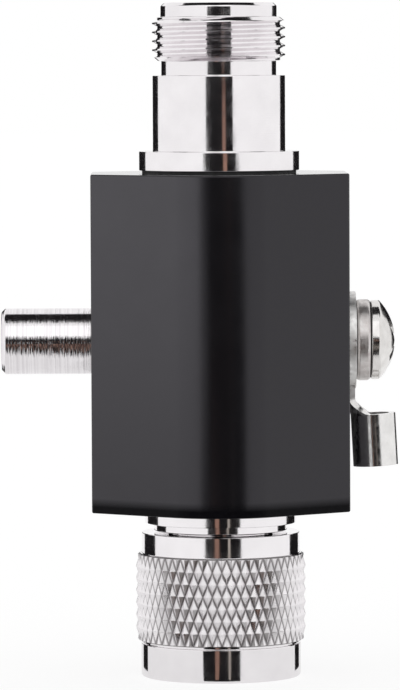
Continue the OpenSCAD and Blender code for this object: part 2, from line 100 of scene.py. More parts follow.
def pick_edges(piece, wanted):
    """Goes into edit mode with just the edges selected whose two ends, in mm, pass a test."""
    take(piece)
    mesh = piece.data
    for part in (*mesh.vertices, *mesh.polygons):
        part.select = False
    for edge in mesh.edges:
        edge.select = wanted(*(mesh.vertices[end].co / MM for end in edge.vertices))
    bpy.ops.object.mode_set(mode="EDIT")
    bpy.ops.mesh.select_mode(type="EDGE")


def pick_faces(piece, wanted):
    """Goes into edit mode with just the faces selected whose middle, in mm, passes a test."""
    take(piece)
    mesh = piece.data
    for part in (*mesh.vertices, *mesh.edges):
        part.select = False
    for face in mesh.polygons:
        face.select = wanted(face.center / MM)
    bpy.ops.object.mode_set(mode="EDIT")
    bpy.ops.mesh.select_mode(type="FACE")


def closed_up(piece):
    """Merges doubled points and turns all faces outwards."""
    open_up(piece)
    bpy.ops.mesh.remove_doubles(threshold=SAME_POINT)
    bpy.ops.mesh.normals_make_consistent(inside=False)
    put_down()


def settled(piece):
    """Puts a piece's place into its mesh."""
    take(piece)
    bpy.ops.object.transform_apply(location=True, rotation=True, scale=True)
    put_down()


def laid_across(piece, turn):
    """Lays a piece that was made about Z along the cross axis, to the right or to the left."""
    piece.rotation_euler = (0, math.radians(turn), 0)
    piece.location = (0, 0, CROSS_Z * MM)
    settled(piece)


def drawn_line(name, points):
    """A line of edges through (x, y, z) points in mm, left in edit mode with its last point selected."""
    put_down()
    bpy.ops.mesh.primitive_plane_add(size=MM)
    piece = bpy.context.object
    piece.name = name
    open_up(piece)
    bpy.ops.mesh.merge(type="CENTER")
    points = [Vector(point) * MM for point in points]
    bpy.ops.transform.translate(value=points[0])
    for here, there in zip(points, points[1:]):
        bpy.ops.mesh.extrude_vertices_move(TRANSFORM_OT_translate={"value": there - here})
    return piece


def drawn_section(name, outline):
    """A section in the plane of X and Z through (x, z) points in mm, all selected in edit mode."""
    piece = drawn_line(name, [(x, 0, z) for x, z in outline])
    bpy.ops.mesh.select_all(action="SELECT")
    bpy.ops.mesh.remove_doubles(threshold=SAME_POINT)
    bpy.ops.mesh.select_all(action="SELECT")
    return piece


def turned(name, outline, steps=120):
    """A solid turned about Z from (radius, height) points in mm, hollow if it starts off the axis."""
    hollow = outline[0][0] > 0
    piece = drawn_section(name, [*outline, outline[0]] if hollow else outline)
    bpy.ops.mesh.spin(
        steps=steps, angle=2 * math.pi, use_auto_merge=True, center=(0, 0, 0), axis=(0, 0, 1)
    )
    closed_up(piece)
    return piece


def softened(piece, width, rows=2, over=30):
    """Breaks all edges sharper than an angle with a small round."""
    take(piece)
    bpy.ops.object.modifier_add(type="BEVEL")
    edge = piece.modifiers[-1]
    edge.width = width * MM
    edge.segments = rows
    edge.limit_method = "ANGLE"
    edge.angle_limit = math.radians(over)
    bpy.ops.object.modifier_apply(modifier=edge.name)
    put_down()


def machined(piece, tool, how="DIFFERENCE"):
    """Cuts a tool out of a piece, or joins it on, and throws the tool away."""
    take(piece)
    bpy.ops.object.modifier_add(type="BOOLEAN")
    cut = piece.modifiers[-1]
    cut.operation = how
    cut.solver = "EXACT"
    cut.object = tool
    bpy.ops.object.modifier_apply(modifier=cut.name)
    take(tool)
    bpy.ops.object.delete()


def smoothed(piece, angle=30):
    """Shades smooth across edges flatter than an angle, and keeps broad faces true up to their rounds."""
    # Faces this small are only weighed rightly on a piece that is enlarged meanwhile
    piece.scale = (1 / MM, 1 / MM, 1 / MM)
    settled(piece)
    take(piece)
    bpy.ops.object.shade_smooth_by_angle(angle=math.radians(angle))
    bpy.ops.object.modifier_add(type="WEIGHTED_NORMAL")
    true = piece.modifiers[-1]
    true.weight = 100
    true.keep_sharp = True
    bpy.ops.object.modifier_apply(modifier=true.name)
    piece.scale = (MM, MM, MM)
    settled(piece)


def drill(radius, low, high, turn=0, sides=96):
    """A round cutter along Z from low to high in mm, or along the cross axis if turned."""
    put_down()
    bpy.ops.mesh.primitive_cylinder_add(
        vertices=sides, radius=radius * MM, depth=(high - low) * MM,
        location=(0, 0, (low + high) / 2 * MM),
    )
    tool = bpy.context.object
    settled(tool)
    if turn:
        laid_across(tool, turn)
    return tool


def bar(size, place, turn=(0, 0, 0)):
    """A square bar of a size at a place in mm, turned in degrees."""
    put_down()
    bpy.ops.mesh.primitive_cube_add(
        size=MM, location=Vector(place) * MM, rotation=[math.radians(a) for a in turn]
    )
    tool = bpy.context.object
    tool.scale = size
    settled(tool)
    return tool


def thread_tool(inner, outer, start, pitch, turns):
    """A cutter for a right-hand thread that winds up from a height in mm.

    Its groove is flat-sided, given by its radius and half its width at its inner and its outer side.
    """
    (inner_r, inner_half), (outer_r, outer_half) = inner, outer
    section = [
        (inner_r, start - inner_half), (outer_r, start - outer_half),
        (outer_r, start + outer_half), (inner_r, start + inner_half),
    ]
    tool = drawn_section("thread tool", [*section, section[0]])
    take(tool)
    bpy.ops.object.modifier_add(type="SCREW")
    wind = tool.modifiers[-1]
    wind.axis = "Z"
    wind.angle = 2 * math.pi
    wind.screw_offset = pitch * MM
    wind.iterations = turns
    wind.steps = 72
    wind.render_steps = wind.steps
    wind.use_merge_vertices = False
    bpy.ops.object.modifier_apply(modifier=wind.name)
    bpy.ops.object.mode_set(mode="EDIT")
    bpy.ops.mesh.select_mode(type="EDGE")
    bpy.ops.mesh.select_all(action="DESELECT")
    bpy.ops.mesh.select_non_manifold(
        use_wire=False, use_multi_face=False, use_non_contiguous=False, use_verts=False
    )
    bpy.ops.mesh.edge_face_add()
    closed_up(tool)
    return tool


# Finishes


class Finish:
    """A material whose nodes start from Object coordinates in mm, with small steps to add more."""

    def __init__(self, name, colour, roughness, metallic=0, centre_z=0):
        self.material = bpy.data.materials.new(name)
        self.material.use_nodes = True
        self.nodes = self.material.node_tree.nodes
        self.links = self.material.node_tree.links
        self.shader = self.nodes["Principled BSDF"]
        self.shader.inputs["Base Color"].default_value = (*colour, 1)
        self.shader.inputs["Roughness"].default_value = roughness
        self.shader.inputs["Metallic"].default_value = metallic
        self.place = self.nodes.new("ShaderNodeMapping")
        self.place.inputs["Location"].default_value = (0, 0, -centre_z)
        self.place.inputs["Scale"].default_value = (1 / MM, 1 / MM, 1 / MM)
        where = self.nodes.new("ShaderNodeTexCoord")
        self.links.new(where.outputs["Object"], self.place.inputs["Vector"])
        self.along = self.nodes.new("ShaderNodeSeparateXYZ")
        self.links.new(self.place.outputs["Vector"], self.along.inputs["Vector"])

    def sum_of(self, how, *values):
        """One step of arithmetic on patterns and plain numbers."""
        node = self.nodes.new("ShaderNodeMath")
        node.operation = how
        for value, socket in zip(values, node.inputs):
            if isinstance(value, (int, float)):
                socket.default_value = value
            else:
                self.links.new(value, socket)
        return node.outputs["Value"]

    def apart(self, value, middle):
        """How far a value lies from a middle, either way."""
        return self.sum_of("ABSOLUTE", self.sum_of("SUBTRACT", value, middle))

    def reach(self, axis):
        """Distance from the X or the Z axis in mm."""
        flat = self.nodes.new("ShaderNodeCombineXYZ")
        for source, socket in zip("YZ" if axis == "X" else "XY", "XY"):
            self.links.new(self.along.outputs[source], flat.inputs[socket])
        length = self.nodes.new("ShaderNodeVectorMath")
        length.operation = "LENGTH"
        self.links.new(flat.outputs["Vector"], length.inputs[0])
        return length.outputs["Value"]

    def ring_place(self, axis):
        """A vector that is the same all round an axis, so that patterns on it run in rings."""
        ring = self.nodes.new("ShaderNodeCombineXYZ")
        self.links.new(self.reach(axis), ring.inputs["X"])
        self.links.new(self.along.outputs[axis], ring.inputs["Y"])
        return ring.outputs["Vector"]

    def noise(self, size, detail=2, rough=0.5, rings=None):
        """Noise whose grains are about size mm across, in rings round an axis if one is named."""
        node = self.nodes.new("ShaderNodeTexNoise")
        node.inputs["Scale"].default_value = 1 / size
        node.inputs["Detail"].default_value = detail
        node.inputs["Roughness"].default_value = rough
        vector = self.ring_place(rings) if rings else self.place.outputs["Vector"]
        self.links.new(vector, node.inputs["Vector"])
        return node.outputs["Fac"]

    def roughen(self, value, low, high, start=0.3, end=0.7):
        """Lets the roughness follow a pattern from low to high. Later calls multiply earlier ones."""
        node = self.nodes.new("ShaderNodeMapRange")
        node.inputs["From Min"].default_value = start
        node.inputs["From Max"].default_value = end
        node.inputs["To Min"].default_value = low
        node.inputs["To Max"].default_value = high
        self.links.new(value, node.inputs["Value"])
        result = node.outputs["Result"]
        target = self.shader.inputs["Roughness"]
        if target.is_linked:
            result = self.sum_of("MULTIPLY", target.links[0].from_socket, result)
        self.links.new(result, target)

    def tint(self, value, dark, light, start=0.3, end=0.7, socket="Base Color"):
        """Colours the surface, or its gloss, by a pattern. Later calls multiply earlier ones."""
        ramp = self.nodes.new("ShaderNodeValToRGB")
        ramp.color_ramp.elements[0].position = start
        ramp.color_ramp.elements[0].color = (*dark, 1)
        ramp.color_ramp.elements[1].position = end
        ramp.color_ramp.elements[1].color = (*light, 1)
        self.links.new(value, ramp.inputs["Fac"])
        result = ramp.outputs["Color"]
        target = self.shader.inputs[socket]
        if target.is_linked:
            both = self.nodes.new("ShaderNodeVectorMath")
            both.operation = "MULTIPLY"
            self.links.new(target.links[0].from_socket, both.inputs[0])
            self.links.new(result, both.inputs[1])
            result = both.outputs["Vector"]
        self.links.new(result, target)

    def relief(self, value, depth):
        """Raises a pattern by a depth in mm. Later calls add to earlier ones."""
        node = self.nodes.new("ShaderNodeBump")
        node.inputs["Distance"].default_value = depth * MM
        node.inputs["Strength"].default_value = 1
        self.links.new(value, node.inputs["Height"])
        normal = self.shader.inputs["Normal"]
        if normal.is_linked:
            self.links.new(normal.links[0].from_socket, node.inputs["Normal"])
        self.links.new(node.outputs["Normal"], normal)


NICKEL = (0.86, 0.835, 0.85)
PALE_NICKEL = (0.89, 0.865, 0.88)
WHITE = (1, 1, 1)


def nickel_finish(name="nickel_plate"):
    """Bright nickel plate over turned brass: faint rings from the tool and a soft cloudiness."""
    finish = Finish(name, NICKEL, roughness=0.06, metallic=1)
    finish.tint(finish.noise(size=3.5, detail=3), dark=(0.83, 0.805, 0.82), light=PALE_NICKEL)
    finish.roughen(finish.noise(size=1.6, detail=3), low=0.06, high=0.13)
    finish.relief(finish.noise(size=0.12, rough=0.6, rings="Z"), depth=0.0006)
    return finish


def nut_finish():
    """Nickel plate of the nut: dull on the knurl, with painted shade darkening its valleys."""
    finish = nickel_finish("nickel_plate_nut")
    reach = finish.reach("Z")
    valley_r = 9.7
    # Painted shade: the colour darkens within about 0.13 mm of the valley radius, at the bottoms of the
    # knurl's valleys
    finish.tint(finish.apart(reach, valley_r), dark=(0.2, 0.19, 0.19), light=WHITE, start=0.02, end=0.135)
    finish.roughen(reach, low=1, high=3.5, start=valley_r - 0.1, end=valley_r + 0.05)
    return finish


def cap_finish():
    """Nickel plate over a coarsely turned rod: thin rings of the tool, some bright and some dull."""
    finish = Finish("nickel_plate_cap", NICKEL, roughness=0.1, metallic=1, centre_z=CROSS_Z)
    finish.tint(finish.noise(size=2.5, detail=3), dark=(0.82, 0.795, 0.81), light=PALE_NICKEL)
    grooves = finish.noise(size=0.2, rough=0.6, rings="X")
    finish.tint(grooves, dark=(0.86, 0.85, 0.86), light=WHITE, start=0.35, end=0.6)
    scratches = finish.noise(size=0.15, detail=3, rough=0.65, rings="X")
    finish.roughen(scratches, low=0.06, high=0.2, start=0.36, end=0.7)
    finish.relief(grooves, depth=0.03)
    return finish


def black_finish():
    """Black anodising over fine blasted sides and smoother sawn ends, with painted shade that takes the
    gloss off its lower edge.
    """
    finish = Finish("black_anodised", (0.004, 0.0037, 0.0046), roughness=0.26)
    grain = finish.noise(size=0.35, detail=4, rough=0.6)
    finish.tint(grain, dark=(0.0028, 0.0026, 0.0033), light=(0.0054, 0.005, 0.0062))
    finish.roughen(finish.noise(size=5, detail=4, rough=0.55), low=0.2, high=0.25)
    height = finish.along.outputs["Z"]
    # The sawn ends lie 20.05 mm from the middle
    finish.roughen(finish.apart(height, CROSS_Z), low=1, high=0.4, start=19.9, end=20)
    finish.relief(finish.noise(size=0.16, detail=3, rough=0.6), depth=0.0012)
    # Painted shade: the gloss is tinted black at the lower edge and comes back between 0.8 and 1.8 mm
    # above the block's end
    rise = finish.sum_of("MULTIPLY", finish.sum_of("SUBTRACT", height, BLOCK_LOW), 0.55)
    finish.tint(rise, dark=(0, 0, 0), light=(0.95, 0.92, 1), start=0.45, end=1, socket="Specular Tint")
    return finish


def screw_finish():
    """Zinc-nickel plate of the ground screw, a little duller and warmer than the connectors."""
    finish = Finish("screw_plate", (0.74, 0.725, 0.71), roughness=0.12, metallic=1, centre_z=CROSS_Z)
    finish.tint(finish.noise(size=1.2, detail=3), dark=(0.68, 0.66, 0.645), light=(0.79, 0.775, 0.76))
    finish.roughen(finish.noise(size=0.7, detail=3), low=0.09, high=0.2)
    finish.relief(finish.noise(size=0.3, rough=0.6, rings="X"), depth=0.0006)
    return finish


def washer_finish():
    """Dull plate of the lock washer, scuffed by tumbling, with painted shade darkening it towards its two
    faces, where it meets the eye and the screw head.
    """
    finish = Finish("washer_plate", (0.62, 0.59, 0.58), roughness=0.3, metallic=1, centre_z=CROSS_Z)
    scuffs = finish.noise(size=0.9, detail=4, rough=0.6)
    finish.tint(scuffs, dark=(0.52, 0.48, 0.47), light=(0.68, 0.66, 0.65))
    from_middle = finish.apart(finish.along.outputs["X"], (EYE_FACE + WASHER_FACE) / 2)
    # Painted shade between the parts: the colour darkens to near black over the last 0.18 mm towards
    # either face
    finish.tint(from_middle, dark=WHITE, light=(0.05, 0.05, 0.05), start=0.72, end=0.84)
    finish.roughen(finish.noise(size=0.5, detail=3), low=0.26, high=0.4)
    finish.relief(finish.noise(size=0.2, detail=3, rough=0.6), depth=0.002)
    return finish


def tinned_finish():
    """Tin on pressed copper sheet, mottled by the dip, and duller on the eye than on the barrel."""
    finish = Finish("tinned_sheet", (0.8, 0.79, 0.78), roughness=0.14, metallic=1)
    finish.tint(finish.noise(size=1.4, detail=4), dark=(0.72, 0.71, 0.7), light=(0.84, 0.83, 0.82))
    finish.roughen(finish.noise(size=0.5, detail=3), low=0.1, high=0.22)
    finish.roughen(finish.along.outputs["X"], low=2.6, high=1, start=EYE_FACE, end=EYE_FACE + 0.2)
    finish.relief(finish.noise(size=0.45, detail=3, rough=0.6), depth=0.003)
    return finish


def gold_finish():
    """Thin gold over the contacts, worn a little paler in places."""
    finish = Finish("gold_plate", (0.86, 0.62, 0.26), roughness=0.16, metallic=1)
    finish.tint(finish.noise(size=0.9, detail=3), dark=(0.8, 0.55, 0.2), light=(0.89, 0.69, 0.36))
    finish.roughen(finish.noise(size=0.5), low=0.12, high=0.24)
    finish.relief(finish.noise(size=0.1, rings="Z"), depth=0.0006)
    return finish


def spring_finish():
    """Drawn spring steel, mottled grey with a fine grain."""
    finish = Finish("spring_steel", (0.5, 0.49, 0.47), roughness=0.26, metallic=1, centre_z=CROSS_Z)
    finish.tint(finish.noise(size=0.5, detail=3), dark=(0.4, 0.39, 0.375), light=(0.58, 0.57, 0.55))
    finish.roughen(finish.noise(size=0.3), low=0.2, high=0.36)
    finish.relief(finish.noise(size=0.08), depth=0.001)
    return finish


def electrode_finish():
    """Dull tin over the gas tube's electrodes."""
    finish = Finish("tube_electrode", (0.62, 0.6, 0.56), roughness=0.3, metallic=1, centre_z=CROSS_Z)
    finish.tint(finish.noise(size=0.7, detail=3), dark=(0.53, 0.51, 0.47), light=(0.68, 0.66, 0.62))
    finish.roughen(finish.noise(size=0.4), low=0.25, high=0.4)
    finish.relief(finish.noise(size=0.12, rings="X"), depth=0.001)
    return finish


def ceramic_finish():
    """Fired alumina: off-white, fine grained, with a few grey specks."""
    finish = Finish("tube_ceramic", (0.82, 0.8, 0.76), roughness=0.4)
    specks = finish.noise(size=0.25, detail=4, rough=0.7)
    finish.tint(specks, dark=(0.68, 0.655, 0.61), light=(0.85, 0.835, 0.8), start=0.25, end=0.5)
    finish.roughen(finish.noise(size=0.2), low=0.34, high=0.5)
    finish.relief(finish.noise(size=0.1, detail=3), depth=0.002)
    return finish


def resin_finish():
    """Turned white fluoropolymer: waxy, with rings from the tool."""
    finish = Finish("white_resin", (0.83, 0.83, 0.81), roughness=0.42)
    finish.tint(finish.noise(size=1.2), dark=(0.78, 0.78, 0.755), light=(0.86, 0.86, 0.845))
    finish.roughen(finish.noise(size=0.6), low=0.36, high=0.5)
    finish.relief(finish.noise(size=0.1, rings="Z"), depth=0.0025)
    finish.shader.inputs["Subsurface Weight"].default_value = 0.12
    finish.shader.inputs["Subsurface Scale"].default_value = 0.4 * MM
    return finish


def rubber_finish(name, dark, light):
    """Moulded rubber with a dusty bloom."""
    finish = Finish(name, light, roughness=0.6)
    finish.tint(finish.noise(size=0.6, detail=4, rough=0.6), dark, light)
    finish.roughen(finish.noise(size=0.4, detail=3), low=0.5, high=0.72)
    finish.relief(finish.noise(size=0.09, detail=3, rough=0.6), depth=0.004)
    return finish


nickel = nickel_finish()
nickel_nut = nut_finish()
nickel_cap = cap_finish()
black = black_finish()
screw_plate = screw_finish()
washer_plate = washer_finish()
tinned = tinned_finish()
red_rubber = rubber_finish("red_rubber", dark=(0.36, 0.045, 0.03), light=(0.5, 0.075, 0.05))
dark_rubber = rubber_finish("dark_rubber", dark=(0.014, 0.014, 0.015), light=(0.03, 0.03, 0.032))
resin = resin_finish()
gold = gold_finish()
spring_steel = spring_finish()
electrode_tin = electrode_finish()
ceramic = ceramic_finish()


def coated(piece, finish):
    """Gives a piece one finish all over."""
    piece.data.materials.clear()
    piece.data.materials.append(finish.material)


def fitted(piece, body, node, finish):
    """Gives a finished piece its surface and lets it stand for its solid."""
    coated(piece, finish)
    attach(piece, body)
    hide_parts(node)


# The pieces


def block():
    """Black block: a flat-sided bar drawn out to a broad round ridge in front and behind."""
    width, side_depth, height = 30.6, 14, 40.1
    ridge, ridge_round = 11.116, 5.98
    line_r, tail_seat_r, tube_r, cap_r, screw_r = 4.6, 6.52, 3.1, 3.995, 2.51
    below, above, outside = 15, 65, 20
    tube_end, cap_seat, screw_end = 12, 9, 5.7
    near = 0.01
    piece = bar((width, side_depth, height), (0, 0, CROSS_Z))
    piece.name = "block_dressed"
    open_up(piece)
    bpy.ops.mesh.bisect(plane_co=(0, 0, CROSS_Z * MM), plane_no=(1, 0, 0))
    for side in (-1, 1):
        pick_points(piece, lambda p: abs(p.x) < near and p.y * side > 1)
        bpy.ops.transform.translate(value=(0, side * ridge * MM, 0))
    pick_edges(piece, lambda a, b: max(abs(a.x), abs(b.x), abs(a.y - b.y)) < near)
    bpy.ops.mesh.bevel(offset=ridge_round * MM, segments=20, profile=0.5, affect="EDGES")
    closed_up(piece)
    softened(piece, width=0.2, rows=4)
    machined(piece, drill(line_r, below, above))
    machined(piece, drill(tail_seat_r, below, PLUG_TAIL_END))
    machined(piece, drill(tail_seat_r, JACK_TAIL_END, above))
    machined(piece, drill(tube_r, 0, tube_end, TO_LEFT))
    machined(piece, drill(cap_r, cap_seat, outside, TO_LEFT))
    machined(piece, drill(screw_r, screw_end, outside, TO_RIGHT))
    smoothed(piece)
    fitted(piece, "housing", "body_block", black)
    return piece


def jack():
    """Threaded jack with its flange, plain barrel, relief and lead."""
    flange_r, barrel_r, relief_r = 9.55, 7.9, 6.85
    flange_z, barrel_z, relief_z = 60.5, 62.8, 71.8
    start_r, crest_r, end_r = 7.25, 7.9375, 7.3
    thread_z, crest_z, runout_z = 73.5, 74.1, 78.25
    lead_r, rim_r, mouth_r, seat_r = 6.925, 6.525, 4.25, 4.05
    lead_z, rim_z, mouth_z = 78.75, 80.05, 80.45
    seat_low, seat_high = 71.35, 75.55
    piece = turned(
        "jack_dressed",
        [
            (SHELL_BORE_R, JACK_TAIL_END), (TAIL_R, JACK_TAIL_END), (TAIL_R, flange_z),
            (flange_r, flange_z), (flange_r, barrel_z), (barrel_r, barrel_z), (barrel_r, relief_z),
            (relief_r, relief_z), (relief_r, thread_z), (start_r, thread_z), (crest_r, crest_z),
            (crest_r, runout_z), (end_r, lead_z), (lead_r, lead_z), (lead_r, rim_z), (rim_r, mouth_z),
            (mouth_r, mouth_z), (mouth_r, seat_high), (seat_r, seat_high), (seat_r, seat_low),
            (SHELL_BORE_R, seat_low),
        ],
    )
    softened(piece, width=0.11)
    thread = thread_tool(
        inner=(7.33, 0.09), outer=(8.2, 0.59), start=72.68, pitch=CONNECTOR_PITCH, turns=6
    )
    machined(piece, thread)
    smoothed(piece)
    fitted(piece, "housing", "jack_shell", nickel)


def plug():
    """Plug shell: neck and shoulder above the nut, and the barrel that the nut turns on."""
    barrel_r, ring_groove_r, neck_r, shoulder_r = 6.2, 5.3, 7.95, 9.05
    barrel_z, neck_z, shoulder_z, insulator_z = 12.6, 17.5, 18.4, 17
    groove_low, groove_high = 14.24, 16.16
    piece = turned(
        "plug_dressed",
        [
            (PLUG_BORE_R, barrel_z), (barrel_r, barrel_z), (barrel_r, groove_low),
            (ring_groove_r, groove_low), (ring_groove_r, groove_high), (barrel_r, groove_high),
            (barrel_r, neck_z), (neck_r, neck_z), (neck_r, shoulder_z), (shoulder_r, shoulder_z),
            (shoulder_r, BLOCK_LOW), (TAIL_R, BLOCK_LOW), (TAIL_R, PLUG_TAIL_END),
            (SHELL_BORE_R, PLUG_TAIL_END), (SHELL_BORE_R, insulator_z), (PLUG_BORE_R, insulator_z),
        ],
    )
    softened(piece, width=0.1)
    smoothed(piece)
    fitted(piece, "housing", "plug_shell", nickel)


def gasket():
    """Red gasket with rounded edges."""
    outer_r, low, high = 6.1, 11.6, 12.6
    piece = turned(
        "gasket_dressed",
        [(PLUG_BORE_R, low), (outer_r, low), (outer_r, high), (PLUG_BORE_R, high)],
        steps=96,
    )
    softened(piece, width=0.2, rows=3)
    smoothed(piece)
    fitted(piece, "housing", "plug_gasket", red_rubber)


def nut():
    """Coupling nut: plain band, diamond knurl and collar outside, thread and snap ring groove inside."""
    around, rows = 108, 7
    knurl_low, knurl_high, valley_r, peak_r = 4.45, 14.65, 9.72, 10.175
    row_h = (knurl_high - knurl_low) / rows
    band_r, rim_r, neck_r, collar_r = 9.55, 9.35, 9.25, 9.45
    rim_z, band_z, neck_z, collar_z, top_z = 0.2, 4, 4.3, 14.8, 17.3
    mouth_r, thread_r, shell_r, ring_groove_r = 8.05, 7.45, 6.26, 6.96
    thread_low, thread_high, groove_low, groove_high = 2.4, 13.2, 15.14, 16.16
    near, edge_round = 0.02, 0.06
    wall_r = 9.66
    wall = [(valley_r, knurl_high - row_h * row) for row in range(rows + 1)]
    piece = turned(
        "nut_dressed",
        [
            (valley_r, neck_z), (neck_r, neck_z), (neck_r, band_z), (band_r, band_z), (band_r, rim_z),
            (rim_r, 0), (mouth_r, 0), (mouth_r, thread_low), (thread_r, thread_low),
            (thread_r, thread_high), (shell_r, thread_high), (shell_r, groove_low),
            (ring_groove_r, groove_low), (ring_groove_r, groove_high), (shell_r, groove_high),
            (shell_r, top_z), (collar_r, top_z), (collar_r, collar_z), (valley_r, collar_z), *wall,
        ],
        steps=around,
    )
    softened(piece, width=0.1)

    def tip(p, rows_wanted):
        row = (p.z - knurl_low) / row_h
        turn = math.atan2(p.y, p.x) / (2 * math.pi) * around
        on_wall = abs(math.hypot(p.x, p.y) - valley_r) < near and abs(row - round(row)) < near
        return on_wall and round(row) in rows_wanted and (round(row) + round(turn)) % 2 == 0

    for rows_wanted, tip_r in ((range(1, rows), peak_r), ((0, rows), (valley_r + peak_r) / 2)):
        pick_points(piece, lambda p: tip(p, rows_wanted))
        grow = tip_r / valley_r
        bpy.ops.transform.resize(value=(grow, grow, 1), center_override=(0, 0, 0))
    pick_faces(piece, lambda p: math.hypot(p.x, p.y) > wall_r and knurl_low < p.z < knurl_high)
    bpy.ops.mesh.quads_convert_to_tris(quad_method="SHORTEST_DIAGONAL")
    bpy.ops.mesh.bevel(offset=edge_round * MM, segments=2, affect="EDGES", clamp_overlap=True)
    put_down()
    thread = thread_tool(inner=(7.2, 0.5), outer=(8, 0.07), start=2.9, pitch=CONNECTOR_PITCH, turns=8)
    machined(piece, thread)
    smoothed(piece, angle=24)
    fitted(piece, "nut", "coupling_nut", nickel_nut)


def cap():
    """Screw cap: a plain turned rod with a spring pocket, a short thread and a seal groove."""
    rod_r, pocket_r, groove_r, face_r = 3.935, 2.95, 3.135, 3.485
    inner_end, pocket_end, groove_low, groove_high = 9.3, 13.5, 13.88, 14.72
    rim_end, outer_end = 25.6, 26.05
    piece = turned(
        "cap_dressed",
        [
            (0, pocket_end), (pocket_r, pocket_end), (pocket_r, inner_end), (rod_r, inner_end),
            (rod_r, groove_low), (groove_r, groove_low), (groove_r, groove_high), (rod_r, groove_high),
            (rod_r, rim_end), (face_r, outer_end), (0, outer_end),
        ],
    )
    softened(piece, width=0.12, rows=3)
    thread = thread_tool(inner=(3.45, 0.06), outer=(4.1, 0.44), start=8.94, pitch=1, turns=4)
    machined(piece, thread)
    laid_across(piece, TO_LEFT)
    smoothed(piece)
    fitted(piece, "cap", "gas_tube_cap", nickel_cap)


def ground_screw():
    """Pan-head screw with a cross recess and a fine thread."""
    dome_r, dome_z, rim_r, dome_steps = 6.888, 14.012, 4.75, 8
    tip_r, shank_r = 1.84, 2.45
    tip_end, shank_end, head_top = 6, 6.61, 20.9
    arm_size, arm_middle, arm_taper = (8, 1.3, 3), 20.6, 0.62
    dome = []
    for step in range(dome_steps):
        lean = math.asin(rim_r / dome_r) * (1 - step / dome_steps)
        dome.append((dome_r * math.sin(lean), dome_z + dome_r * math.cos(lean)))
    piece = turned(
        "ground_screw_dressed",
        [
            (0, tip_end), (tip_r, tip_end), (shank_r, shank_end), (shank_r, WASHER_FACE),
            (rim_r, WASHER_FACE), *dome, (0, head_top),
        ],
        steps=96,
    )
    softened(piece, width=0.16, rows=3, over=40)
    thread = thread_tool(inner=(2.02, 0.04), outer=(2.6, 0.38), start=5.64, pitch=0.8, turns=13)
    machined(piece, thread)
    for turn in (45, 135):
        arm = bar(arm_size, (0, 0, arm_middle), (0, 0, turn))
        pick_points(arm, lambda p: p.z < arm_middle)
        bpy.ops.transform.resize(value=(arm_taper, arm_taper, 1), center_override=(0, 0, arm_middle * MM))
        put_down()
        machined(piece, arm)
    laid_across(piece, TO_RIGHT)
    smoothed(piece)
    fitted(piece, "screw", "ground_screw", screw_plate)


def lock_washer():
    """Thick split washer with rounded edges."""
    outer_r, gap, gap_lean = 4.85, 0.6, 25
    thickness = WASHER_FACE - EYE_FACE
    piece = turned(
        "lock_washer_dressed",
        [
            (SCREW_HOLE_R, EYE_FACE), (outer_r, EYE_FACE), (outer_r, WASHER_FACE),
            (SCREW_HOLE_R, WASHER_FACE),
        ],
        steps=96,
    )
    softened(piece, width=0.5, rows=5)
    split_place = (0, outer_r, EYE_FACE + thickness / 2)
    machined(piece, bar((gap, 2 * outer_r, 2 * thickness), split_place, (0, gap_lean, 0)))
    laid_across(piece, TO_RIGHT)
    smoothed(piece)
    fitted(piece, "washer", "lock_washer", washer_plate)


def ring_terminal():
    """Ring terminal: a pressed eye, and a tongue that rolls out into the open wire barrel."""
    barrel_lean, barrel_r, barrel_length, wall = 3, 2.3, 6.2, 0.75
    barrel_top = Vector((18.275, 0, 31.35))
    sheet_x, roll_height, roll_steps, roll_widening, tongue_height = 15.69, 2.1, 9, 1.01, 2.2
    eye_r, eye_back, hole_start = 5.8, 15.3, 14
    seam_size, seam_out = (1.6, 0.16, 7.4), 2.35
    near, tongue_in, flattest = 0.05, 0.25, 0.0001
    lean = math.radians(barrel_lean)
    along = Vector((math.sin(lean), 0, -math.cos(lean)))
    put_down()
    bpy.ops.mesh.primitive_circle_add(
        vertices=64, radius=barrel_r * MM, fill_type="NOTHING",
        location=barrel_top * MM, rotation=(0, -lean, 0),
    )
    piece = bpy.context.object
    piece.name = "ring_terminal_dressed"
    settled(piece)
    open_up(piece)
    bpy.ops.mesh.extrude_edges_move(TRANSFORM_OT_translate={"value": along * barrel_length * MM})

    def on_tongue(p):
        return abs((p - barrel_top).dot(along)) < near and p.x < barrel_top.x - tongue_in

    pick_points(piece, on_tongue)
    for step in range(1, roll_steps + 1):
        rise = roll_height / roll_steps
        bpy.ops.mesh.extrude_edges_move(TRANSFORM_OT_translate={"value": (0, 0, rise * MM)})
        flatten = ((1 - step / roll_steps) / (1 - (step - 1) / roll_steps)) ** 2
        bpy.ops.transform.resize(
            value=(max(flatten, flattest), roll_widening, 1), center_override=(sheet_x * MM, 0, 0)
        )
    bpy.ops.mesh.extrude_edges_move(TRANSFORM_OT_translate={"value": (0, 0, tongue_height * MM)})
    take(piece)
    bpy.ops.object.modifier_add(type="SOLIDIFY")
    sheet = piece.modifiers[-1]
    sheet.thickness = wall * MM
    sheet.offset = 0
    sheet.use_even_offset = True
    bpy.ops.object.modifier_apply(modifier=sheet.name)
    closed_up(piece)
    machined(piece, drill(eye_r, eye_back, EYE_FACE, TO_RIGHT, sides=120), "UNION")
    machined(piece, drill(SCREW_HOLE_R, hole_start, WASHER_FACE, TO_RIGHT))
    seam = barrel_top + along * (barrel_length / 2) + Vector((seam_out, 0, 0))
    machined(piece, bar(seam_size, seam, (0, -barrel_lean, 0)))
    softened(piece, width=0.09, over=50)
    smoothed(piece)
    fitted(piece, "terminal", "ring_terminal", tinned)


black_block = block()
jack()
plug()
gasket()
nut()
cap()
ground_screw()
lock_washer()
ring_terminal()

